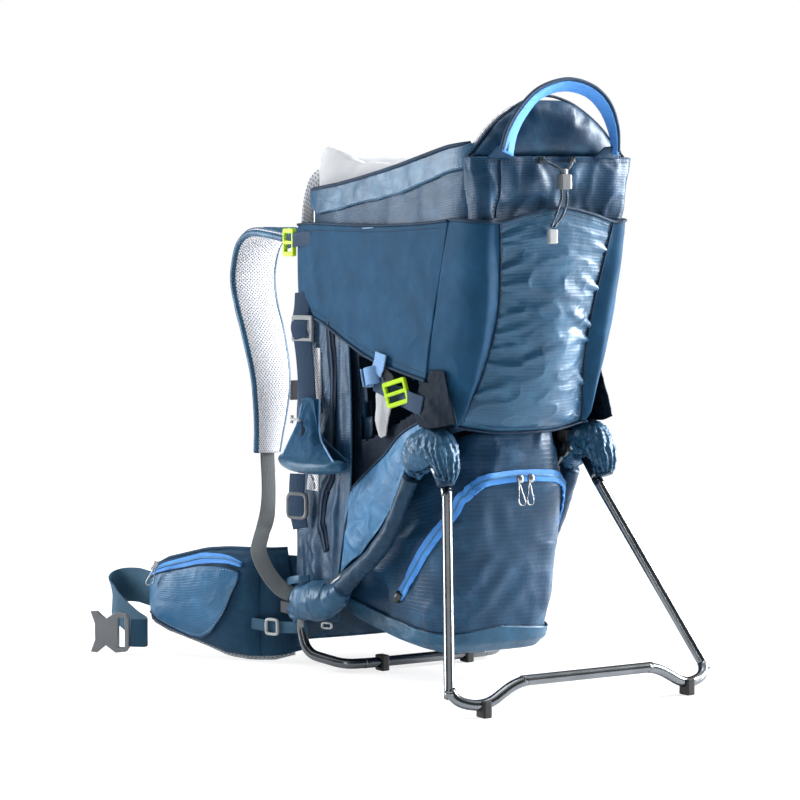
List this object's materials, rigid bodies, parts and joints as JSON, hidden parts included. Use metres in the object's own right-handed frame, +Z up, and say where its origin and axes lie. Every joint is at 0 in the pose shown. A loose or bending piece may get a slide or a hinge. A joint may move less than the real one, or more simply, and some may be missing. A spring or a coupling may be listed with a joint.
{
  "type": "baby carrier backpack",
  "caption": "Framed child carrier backpack with padded cockpit, headrest, foot stirrups, storage bag, front pocket, hip belt, shoulder straps and a fold-out tube kickstand.",
  "frame": {"origin": "on the ground, in the middle of the carrier's footprint", "axes": "+Z up, +Y the way the wearer faces, +X to the wearer's right"},
  "size_m": [0.6359, 0.7517, 0.74],
  "materials": {
    "frame_tube": "satin drawn tube",
    "dark_plastic": "matt",
    "grey_plastic": "fine matt",
    "light_plastic": "fine matt",
    "lime_plastic": "semi-gloss",
    "shell_fabric": "coated ripstop with a sheen",
    "stretch_fabric": "matt stretch weave",
    "handle_webbing": "ribbed webbing",
    "belt_fabric": "matt",
    "grey_webbing": "flat woven webbing",
    "blue_webbing": "flat woven webbing",
    "spacer_mesh": "open spacer mesh",
    "lining": "brushed lining",
    "steel": "fine brushed",
    "foot_rubber": "matt",
    "cord": "braided"
  },
  "bodies": {
    "pack": {"base_frame_tube": "frame_tube", "back_frame_tube": "frame_tube", "hinge_bracket_left": "dark_plastic", "hinge_bracket_right": "dark_plastic", "hinge_pin_left": "steel", "hinge_pin_right": "steel", "base_foot_left": "foot_rubber", "base_foot_right": "foot_rubber", "frame_clamp_left": "dark_plastic", "frame_clamp_right": "dark_plastic", "cockpit_shell": "shell_fabric", "headrest": "shell_fabric", "top_handle": "handle_webbing", "seat_back_pad": "lining", "harness_strap_left": "stretch_fabric", "harness_strap_right": "stretch_fabric", "harness_buckle": "grey_plastic", "storage_bag": "shell_fabric", "front_pocket": "stretch_fabric", "side_pocket_left": "stretch_fabric", "side_pocket_right": "stretch_fabric", "back_panel": "spacer_mesh", "lumbar_pad": "belt_fabric", "load_lifter_buckle_left": "lime_plastic", "load_lifter_buckle_right": "lime_plastic", "side_entry_buckle_left": "lime_plastic", "side_entry_buckle_right": "lime_plastic", "stirrup_buckle_left": "light_plastic", "stirrup_buckle_right": "light_plastic", "drawcord_left": "cord", "drawcord_right": "cord", "cord_tab": "grey_plastic"},
    "kickstand": {"kickstand_tube": "frame_tube", "kickstand_foot_left": "foot_rubber", "kickstand_foot_right": "foot_rubber"},
    "hip_belt_left": {"hip_wing_left": "belt_fabric", "hip_pocket": "shell_fabric", "hip_webbing_left": "blue_webbing"},
    "hip_belt_right": {"hip_wing_right": "belt_fabric", "hip_webbing_right": "blue_webbing"},
    "hip_plug": {"hip_buckle_plug": "grey_plastic"},
    "hip_socket": {"hip_buckle_socket": "grey_plastic"},
    "hip_zip": {"hip_zip_slider": "steel"},
    "zip_left": {"zip_slider_left": "steel"},
    "zip_right": {"zip_slider_right": "steel"},
    "seat": {"child_seat": "lining"},
    "chin_rest": {"chin_pad": "lining"},
    "shoulder_harness": {"shoulder_yoke": "dark_plastic", "shoulder_strap_left": "spacer_mesh", "shoulder_strap_right": "spacer_mesh", "strap_webbing_left": "grey_webbing", "strap_webbing_right": "grey_webbing"},
    "chest_strap": {"chest_strap_plug": "dark_plastic", "chest_strap_socket": "dark_plastic"},
    "stirrup_left": {"foot_stirrup_left": "stretch_fabric"},
    "stirrup_right": {"foot_stirrup_right": "stretch_fabric"},
    "cord_stop": {"cord_lock": "grey_plastic"},
    "cord_stop_button": {"cord_lock_button": "light_plastic"},
    "buckle_button": {"harness_buckle_button": "lime_plastic"}
  },
  "joints": [
    {"name": "kickstand_fold", "type": "hinge", "parent": "pack", "child": "kickstand", "pos_m": [0, -0.193, 0.293], "axis": [1, 0, 0], "range_deg": [0, 60]},
    {"name": "hip_belt_left_swing", "type": "hinge", "parent": "pack", "child": "hip_belt_left", "pos_m": [-0.124, 0.109, 0.078], "axis": [0, 0, 1], "range_deg": [-20, 20]},
    {"name": "hip_belt_right_swing", "type": "hinge", "parent": "pack", "child": "hip_belt_right", "pos_m": [0.124, 0.109, 0.078], "axis": [0, 0, -1], "range_deg": [-20, 20]},
    {"name": "hip_plug_swing", "type": "hinge", "parent": "hip_belt_left", "child": "hip_plug", "pos_m": [-0.278, 0.277, 0.029], "axis": [0, 0, 1], "range_deg": [0, 40]},
    {"name": "hip_socket_swing", "type": "hinge", "parent": "hip_belt_right", "child": "hip_socket", "pos_m": [0.278, 0.277, 0.029], "axis": [0, 0, -1], "range_deg": [0, 40]},
    {"name": "hip_zip_slide", "type": "slide", "parent": "hip_belt_left", "child": "hip_zip", "axis": [0.33, -0.944, 0], "range_m": [0, 0.08]},
    {"name": "zip_left_slide", "type": "slide", "parent": "pack", "child": "zip_left", "axis": [-1, 0, 0], "range_m": [0, 0.045]},
    {"name": "zip_right_slide", "type": "slide", "parent": "pack", "child": "zip_right", "axis": [1, 0, 0], "range_m": [0, 0.045]},
    {"name": "seat_height", "type": "slide", "parent": "pack", "child": "seat", "axis": [0, 0, 1], "range_m": [-0.028, 0]},
    {"name": "chin_rest_lift", "type": "slide", "parent": "pack", "child": "chin_rest", "axis": [0, 0, 1], "range_m": [0, 0.1]},
    {"name": "back_length", "type": "slide", "parent": "pack", "child": "shoulder_harness", "axis": [0, 0, 1], "range_m": [-0.05, 0.03], "deforming": ["strap_webbing_left", "strap_webbing_right"]},
    {"name": "chest_strap_height", "type": "slide", "parent": "shoulder_harness", "child": "chest_strap", "axis": [0, 0, 1], "range_m": [-0.03, 0.03]},
    {"name": "stirrup_left_height", "type": "slide", "parent": "pack", "child": "stirrup_left", "axis": [0, 0, 1], "range_m": [-0.06, 0]},
    {"name": "stirrup_right_height", "type": "slide", "parent": "pack", "child": "stirrup_right", "axis": [0, 0, 1], "range_m": [-0.06, 0]},
    {"name": "cord_lock_slide", "type": "slide", "parent": "pack", "child": "cord_stop", "axis": [0, 0, 1], "range_m": [-0.01, 0]},
    {"name": "cord_lock_press", "type": "slide", "parent": "cord_stop", "child": "cord_stop_button", "axis": [0, 0, -1], "range_m": [0, 0.0025], "stiffness_N_per_m": 400, "springref_m": -0.002},
    {"name": "harness_button_press", "type": "slide", "parent": "pack", "child": "buckle_button", "axis": [0, 0, -1], "range_m": [0, 0.003], "stiffness_N_per_m": 600, "springref_m": -0.002}
  ]
}
